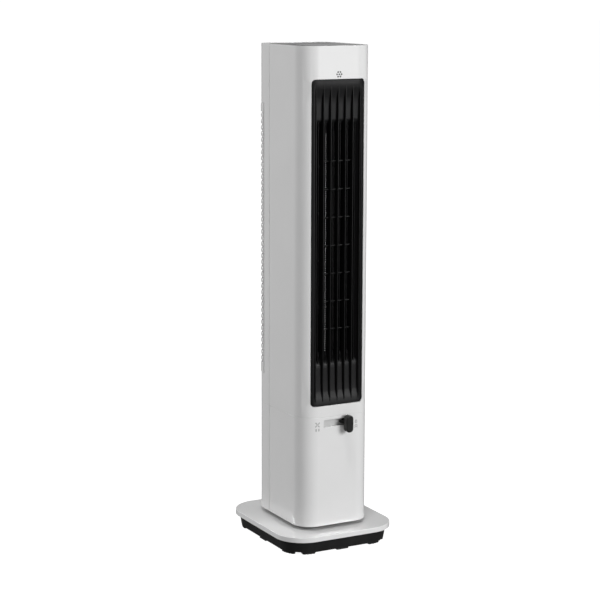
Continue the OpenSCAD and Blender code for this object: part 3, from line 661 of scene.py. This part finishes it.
def prof_z(z):
    return float(np.interp(z, [R0B - 7, R0B + 3, R0B + 12, R0B + 22, R1B - 8, R1B, R1B + 5, R2B - 3, R2B, R2B + 2, R2T - 2, R2T, R2T + 3, R1T - 5, R1T, R0T - 33, R0T - 23, R0T - 13, R0T - 3, R0T + 5],
                           [0.0, 1.3, 3.8, 5.8, 6.4, 7.2, 10.0, 21.0, 24.0, 26, 26, 24.0, 21.0, 10.0, 7.2, 6.2, 5.2, 3.2, 0.9, 0.0]))


def prof_x(x):
    return float(np.interp(abs(x), [35.2, 36.5, 39.0, 43.0, 47.0, 50.0, 51.8, 52.8, 53.6, 54.4], [26.5, 24.6, 20.0, 14.6, 10.0, 6.4, 4.4, 2.6, 0.7, 0.0]))


def scoop(x, z):
    a, c = prof_z(z), prof_x(x)
    k = 2.4 * min(1.0, max(0.0, min(a, c) / 3.0))
    m = min(a, c)
    if k > 1e-6:
        h = max(k - abs(a - c), 0) / k
        m -= h * h * k / 4
    return max(m, 0.0)


def grille_place(x, z, w):
    return (x, YF + curve_in(x) + face + scoop(x, z) - w + TAPER * (z - ZB) / (ZT - ZB), z)


ghw = og_hi[0] - 0.7
gl0, gl1 = og_lo[2] + 0.5, og_hi[2] - 0.5
xs = sorted(set([round(v, 3) for a in (0, 8.5, 17, 25.5, 34, 35.2, 37.5, 39, 41, 43, 45, 47, 48.5, 50, 51, 51.8, 52.3, 52.8, 53.2, 53.6, 54.4, 56, 58, 59.7) for v in (a, -a)]))
zs_ = sorted(set([round(v, 3) for v in (linsp(R0B - 6, R0B + 19, 9) + linsp(R0B + 19, R1B - 8, 3) + linsp(R1B - 8, R2B + 2, 14) + linsp(R2B + 2, R2T - 2, 14) + linsp(R2T - 2, R1T + 8, 14) + linsp(R1T + 8, R0T - 33, 6) + linsp(R0T - 33, R0T + 6, 12))]))
b = Build()
throat = rrect(-36.2, 36.2, R2B + 0.6, R2T - 0.6, 3.0, xs, zs_, n=5)
b.prism([rrect(-ghw, ghw, gl0, gl1, 8.4, xs, zs_, n=12), throat], 0.0, -2.0, 0.5, 0.3, grille_place, xs, zs_, segs=3, margin=0.35)
# a deeper skirt behind the border, against the casing
skirt_o = rrect(-ghw, ghw, gl0, gl1, 8.4, xs, (), n=12)
skirt_i = rrect(-ghw + 1.6, ghw - 1.6, gl0 + 1.6, gl1 - 1.6, 6.8, xs, (), n=12)
b.prism([skirt_o, skirt_i], -1.0, -7.0, 0, 0, lambda x, z, w: (x, YF + curve_in(x) + face - w + TAPER * (z - ZB) / (ZT - ZB), z), segs=1)


def fin(b, xc, t, y0, y1, z0, z1, nose=None, seg=5, zs_list=None):
    """Upright fin with a rounded nose; its front edge follows the casing's taper."""
    nose = t / 2 if nose is None else nose
    rows = zs_list or [z0, z1]

    def ring(z):
        yy = YF + curve_in(xc) + TAPER * (z - ZB) / (ZT - ZB)
        pts = [(xc + t / 2, yy + y1, z)]
        for k in range(seg * 2 + 1):
            a = math.pi * k / (seg * 2)
            pts.append((xc + t / 2 * math.cos(a), yy + y0 + nose * (1 - math.sin(a)), z))
        pts.append((xc - t / 2, yy + y1, z))
        return pts
    b.sweep(rows, ring)


for i in range(-3, 4):
    outer = abs(i) == 3
    fin(b, 17.0 * i, 2.2, face + 0.12, 6.5 if outer else 16.0, R0B - 3, R0T + 3, nose=0.7)
for xc in (-25.5, -8.5, 8.5, 25.5):
    fin(b, xc, 1.4, 9.0, 22.5, R1B - 1, R1T + 1, nose=0.6)
for xc in (-42.5, 42.5):
    fin(b, xc, 1.4, 8.6, 15.6, R1B - 1, R1T + 1, nose=0.6)
for k in range(7):
    zb_ = ZB + 419 + 58 * k
    b.prism([rrect(-34.5, 34.5, zb_ - 1.1, zb_ + 1.1, 0.9, n=4)], 0.0, -3.2, 0.4, 0.4,
            lambda u, v, w: (u, YF + 8.0 - w + TAPER * (v - ZB) / (ZT - ZB), v), segs=2)
grille = b.object("outlet_grille_moulding", "tower", M["grille_black"], ["outlet_grille"])

# toothed strip on one inner fin; its light grey studs are painted highlight, a row of bright dots
b = Build()
zt0, zt1 = R2B + 8, R2T - 2
n_t = int((zt1 - zt0) / 3.9)
for k in range(n_t):
    z = zt0 + 3.9 * k
    b.prism([rrect(-25.5 - 0.75, -25.5 + 0.75, z - 0.65, z + 0.65, 0.5, n=3)], 0.0, -1.6, 0.3, 0.0,
            lambda u, v, w: (u, YF + 8.4 - w + TAPER * (v - ZB) / (ZT - ZB), v), segs=2)
b.object("grille_comb", "tower", M["comb_painted_highlight"])

# ------------------------------------------------------------------ mode slide
b = Build()
ring_o = rrect(sb_lo[0], sb_hi[0], sb_lo[2], sb_hi[2], 3.0, n=6)
ring_i = rrect(-slot_hl, slot_hl, slot_z - slot_hh, slot_z + slot_hh, 2.0, n=6)
put_front = lambda u, v, w: (u, YF - w, v)
b.prism([ring_o, ring_i], -2.62, -7.6, 0.0, 0.0, put_front)
b.prism([rrect(sb_lo[0], sb_hi[0], sb_lo[2], slot_z + slot_hh - 1.45, 1.0, n=4)], -7.6, -9.0, 0.2, 0.0, put_front, segs=2)
b.prism([rrect(sb_lo[0], sb_hi[0], slot_z + slot_hh, sb_hi[2], 0.5, n=3)], -7.6, -9.0, 0.0, 0.0, put_front, segs=2)
# the channel's light grey is painted shade of the slot recess
b.object("slide_channel", "tower", M["channel_painted_shade"], ["slot_bezel"], sharp=40, weld=False)

kx, kz = (kn_lo[0] + kn_hi[0]) / 2, (kn_lo[2] + kn_hi[2]) / 2
kf, kb = -kn_lo[1], -kn_hi[1]
b = Build()
b.prism([stadium(kx, kz, kn_hi[0] - kn_lo[0], kn_hi[2] - kn_lo[2], 18)], kf, kb, 1.6, 1.2, lambda u, v, w: (u, -w, v), segs=7)
b.object("slide_knob", "mode_slide", M["knob_black"], ["lever_knob"])


def rr_ring(xc, zc, w, h, r, y, n=6):
    return [(u, y, v) for u, v in rrect(xc - w / 2, xc + w / 2, zc - h / 2, zc + h / 2, r, n=n)]


b = Build()
st = [(YF + 7.0, 23.2, 4.4, 1.0), (YF + 3.9, 23.2, 4.4, 1.0), (YF + 3.2, 22.8, 4.6, 1.2), (YF + 1.6, 21.4, 5.2, 1.6), (YF - 0.4, 19.0, 6.6, 2.2),
      (YF - 2.4, 15.4, 8.4, 2.8), (YF - 4.4, 12.8, 10.0, 3.2), (YF - 6.3, 11.2, 11.2, 3.4), (YF - 7.4, 10.8, 11.4, 3.4)]
b.loft([rr_ring(kx, slot_z, w, h, r, y) for y, w, h, r in st])
tongue_y = B("lever_slide")[1][1]
ls_lo, ls_hi = B("lever_slide")
b.prism([rrect(kx - 6, kx + 6, slot_z + 1, slot_z + 7.3, 0.5, n=3)], -YF - 5.2, -YF - 7.0, 0.2, 0, lambda u, v, w: (u, -w, v), segs=2)
b.prism([rrect(kx - 6, kx + 6, slot_z + 6.55, slot_z + 7.3, 0.3, n=3)], -YF - 6.6, -YF - 14.0, 0, 0.2, lambda u, v, w: (u, -w, v), segs=2)
b.prism([rrect(kx - 6, kx + 6, slot_z + 6.1, ls_hi[2], 0.5, n=3)], -YF - 10.4, -YF - 14.0, 0.3, 0.3, lambda u, v, w: (u, -w, v), segs=2)
b.prism([rrect(kx - 6, kx + 6, YF + 10.6, ls_hi[1], 0.5, n=3)], ls_hi[2], ls_hi[2] - 2.6, 0.3, 0.3, segs=2)
b.object("slide_stem", "mode_slide", M["knob_black"], ["lever_slide"], sharp=50, weld=False)

# generic signs beside the slide
b = Build()
sx, sz = -46.8, ZB + 215.2
put_sign = lambda u, v, w: (u, YF - w + curve_in(u) + TAPER * (v - ZB) / (ZT - ZB), v)
for k in range(4):
    a = math.radians(45 + 90 * k)
    c, s_ = math.cos(a), math.sin(a)
    blade = [(sx + c * p - s_ * q, sz + 4.4 + s_ * p + c * q) for p, q in ((0.8, -0.5), (2.8, -1.6), (5.8, -1.6), (7.2, -0.3), (6.4, 0.9), (3.6, 1.0), (0.8, 0.5))]
    b.prism([blade], 0.05, -0.05, 0, 0, put_sign)
for dx in (-3.2, 3.2):
    b.prism([rrect(sx + dx - 1.3, sx + dx + 1.3, sz - 9.8, sz - 3.6, 1.1, n=4)], 0.05, -0.05, 0, 0, put_sign)
sx, sz = 45.4, ZB + 212.6
drop = [(sx + 3.0 * math.cos(math.radians(a)), sz + 3.6 + 3.0 * math.sin(math.radians(a))) for a in linsp(150, 390, 16)] + [(sx, sz + 9.4)]
b.prism([drop], 0.05, -0.05, 0, 0, put_sign)
for dz in (-3.4, -7.0):
    bar_mark(b, sx - 3.6, sz + dz - 1.6, sx, sz + dz + 0.9, 1.3, -0.05, 0.1, put_sign)
    bar_mark(b, sx, sz + dz + 0.9, sx + 3.6, sz + dz - 1.6, 1.3, -0.05, 0.1, put_sign)
b.object("slide_signs", "tower", M["print_grey"], sharp=30)

# ------------------------------------------------------------------ intake
pitch = 13.0
n_l = int((ig_hi[2] - ig_lo[2] - 24) / pitch)
lz0 = (ig_hi[2] + ig_lo[2]) / 2 - n_l * pitch / 2 + 2
valley = [lz0 + (k + 0.5) * pitch for k in range(n_l)]
sa, sb = s_at_y(ig_lo[1] - 0.7), s_at_y(67.0)
b = Build()
in_s = [v for v in S_LINES if sa < v < FULL - sa]
b.prism([rrect(sa, FULL - sa, ig_lo[2], ig_hi[2], 0, in_s, Z_LINES), rrect(sb, FULL - sb, valley[0] - 1.5, valley[-1] + 1.5, 1.0, in_s, Z_LINES, n=3)],
        1.0, -1.6, 1.1, 0.3, on_case, in_s, Z_LINES, margin=0.8)
sec = [(-1.6, -5.0), (-0.9, -5.0), (-0.2, -4.5), (0.35, -3.5), (0.8, -2.0), (1.0, -0.7), (1.0, 0.7), (0.8, 2.0), (0.35, 3.5), (-0.2, 4.5), (-0.9, 5.0), (-1.6, 5.0)]
path = sorted([v for v in S_LINES if sb - 1.0 < v < FULL - sb + 1.0] + [sb - 1.2, FULL - sb + 1.2])
for zc in [v + pitch / 2 for v in valley[:-1]]:
    b.sweep(path, lambda s, zc=zc: [on_case(s, zc + h, o) for o, h in sec])
for x in (-48, -16, 16, 48):
    b.prism([rrect(x - 1.5, x + 1.5, YR - 5.0, YR - 1.9, 0.5, n=3)], ig_hi[2] - 2, ig_lo[2] + 2, 0.2, 0.2, segs=2)
b.object("intake_louvres", "intake_cover", M["shell_white"], ["intake_grille"], weld=False)
# fine mesh that lines the louvres
b = Build()
b.prism([rrect(sa + 2.0, FULL - sa - 2.0, ig_lo[2] + 4, ig_hi[2] - 4, 2.0, in_s, Z_LINES, n=3)], -1.75, -2.25, 0, 0, on_case, in_s, Z_LINES, margin=0.8)
b.object("intake_mesh", "intake_cover", M["mesh_grey"])

# ------------------------------------------------------------------ foot
b = Build()
pr = 63.0
b.prism([rrect(pl_lo[0], pl_hi[0], pl_lo[1], pl_hi[1], pr, n=30), circle(0, 0, 20, 48)], pl_hi[2], pl_lo[2] - 0.8, 1.1, 0.8, segs=5)
b.object("foot_plate", "base", M["plate_white"], ["base_plate"])
soften("base_tray", 0.5)
soften("rubber_feet", 0.5, 40)
soften("swivel_base", 0.4)
soften("chassis_base", 0.4)
soften("cord_gland", 0.4, 40)

# ------------------------------------------------------------------ floor, world, lights
me = bpy.data.meshes.new("floor")
R = 40.0
me.from_pydata([(-R, -R, -0.0002), (R, -R, -0.0002), (R, R, -0.0002), (-R, R, -0.0002)], [], [(0, 1, 2, 3)])
floor = bpy.data.objects.new("floor", me)
scene.collection.objects.link(floor)
fm = bpy.data.materials.new("floor_pale")
fm.use_nodes = True
nt = fm.node_tree
pb = nt.nodes["Principled BSDF"]
pb.inputs["Roughness"].default_value = 0.9
pb.inputs["Specular IOR Level"].default_value = 0.1
out = nt.nodes["Material Output"]
nz = nt.nodes.new("ShaderNodeTexNoise")
nz.inputs["Scale"].default_value = 3.0
rp = nt.nodes.new("ShaderNodeValToRGB")
rp.color_ramp.elements[0].color = (0.30, 0.30, 0.30, 1)
rp.color_ramp.elements[1].color = (0.32, 0.32, 0.32, 1)
nt.links.new(nz.outputs["Fac"], rp.inputs["Fac"])
nt.links.new(rp.outputs["Color"], pb.inputs["Base Color"])
pb.inputs["Emission Color"].default_value = (1, 1, 1, 1)
pb.inputs["Emission Strength"].default_value = 0.95
floor.visible_diffuse = False
floor.visible_glossy = False
floor.visible_shadow = False
me.materials.append(fm)

LOW, LOW_MIRROR, AMB, AMB_MIRROR = 0.37, 0.06, 0.20, 0.32
world = bpy.data.worlds.new("studio")
scene.world = world
world.use_nodes = True
wt = world.node_tree
bg = wt.nodes["Background"]
gt = wt.nodes.new("ShaderNodeTexCoord")
gs = wt.nodes.new("ShaderNodeSeparateXYZ")
gr = wt.nodes.new("ShaderNodeValToRGB")
gr.color_ramp.elements[0].position = 0.0
gr.color_ramp.elements[1].position = 0.02
gr.color_ramp.elements[0].color = (LOW, LOW, LOW, 1)
gr.color_ramp.elements[1].color = (AMB, AMB, AMB, 1)
wt.links.new(gt.outputs["Generated"], gs.inputs[0])
wt.links.new(gs.outputs["Z"], gr.inputs["Fac"])
gm = wt.nodes.new("ShaderNodeValToRGB")
gm.color_ramp.elements[0].position = 0.0
gm.color_ramp.elements[1].position = 0.02
gm.color_ramp.elements[0].color = (LOW_MIRROR, LOW_MIRROR, LOW_MIRROR, 1)
gm.color_ramp.elements[1].color = (AMB_MIRROR, AMB_MIRROR, AMB_MIRROR, 1)
wt.links.new(gs.outputs["Z"], gm.inputs["Fac"])
bm_ = wt.nodes.new("ShaderNodeBackground")
wt.links.new(gm.outputs["Color"], bm_.inputs["Color"])
wt.links.new(gr.outputs["Color"], bg.inputs["Color"])
wb = wt.nodes.new("ShaderNodeBackground")
wb.inputs["Color"].default_value = (1.05, 1.05, 1.05, 1)
wl = wt.nodes.new("ShaderNodeLightPath")
wm = wt.nodes.new("ShaderNodeMixShader")
wt.links.new(wl.outputs["Is Camera Ray"], wm.inputs[0])
wg = wt.nodes.new("ShaderNodeMixShader")
wt.links.new(wl.outputs["Is Glossy Ray"], wg.inputs[0])
wt.links.new(bg.outputs[0], wg.inputs[1])
wt.links.new(bm_.outputs[0], wg.inputs[2])
wt.links.new(wg.outputs[0], wm.inputs[1])
wt.links.new(wb.outputs[0], wm.inputs[2])
wt.links.new(wm.outputs[0], wt.nodes["World Output"].inputs["Surface"])


def softbox(name, at, aim, w, h, power):
    ld = bpy.data.lights.new(name, "AREA")
    ld.shape = "RECTANGLE"
    ld.size, ld.size_y = w, h
    ld.energy = power
    ob = bpy.data.objects.new(name, ld)
    scene.collection.objects.link(ob)
    ob.location = at
    ob.rotation_euler = (Vector(aim) - Vector(at)).to_track_quat("-Z", "Y").to_euler()
    ob.visible_camera = False
    ob.visible_glossy = True
    return ob


def around(az, el, d):
    az, el = math.radians(az), math.radians(el)
    return (d * math.sin(az) * math.cos(el), -d * math.cos(az) * math.cos(el), 0.55 + d * math.sin(el))


softbox("key", around(22, 15, 6.0), (0, 0, 0.45), 2.2, 2.2, 226)
softbox("sheen", around(22, 10, 6.0), (0, 0, 0.4), 2.2, 2.2, 24)
softbox("side", around(-140, 15, 6.0), (0, 0, 0.55), 2.0, 2.5, 208)
softbox("overhead", around(-36, 73, 6.0), (0, 0, 0.45), 1.0, 1.0, 104)

# ------------------------------------------------------------------ camera
cam = bpy.data.cameras.new("camera")
cam.sensor_width = 36.0
cam.lens = 107.09
cam.clip_end = 200
co = bpy.data.objects.new("camera", cam)
scene.collection.objects.link(co)
h, p = math.radians(28.25), math.radians(10.27)
f = Vector((math.sin(h) * math.cos(p), math.cos(h) * math.cos(p), -math.sin(p)))
r = Vector((math.cos(h), -math.sin(h), 0))
u = r.cross(f)
rot = Matrix((r, u, -f)).transposed().to_4x4()
co.matrix_world = Matrix.Translation((-1.7846, -3.2650, 1.1843)) @ rot @ Matrix.Rotation(math.radians(0.15), 4, "Z")
scene.camera = co
scene.view_settings.view_transform = "Standard"
scene.view_settings.look = "None"
scene.view_settings.exposure = 0.0
scene.view_settings.gamma = 1.0
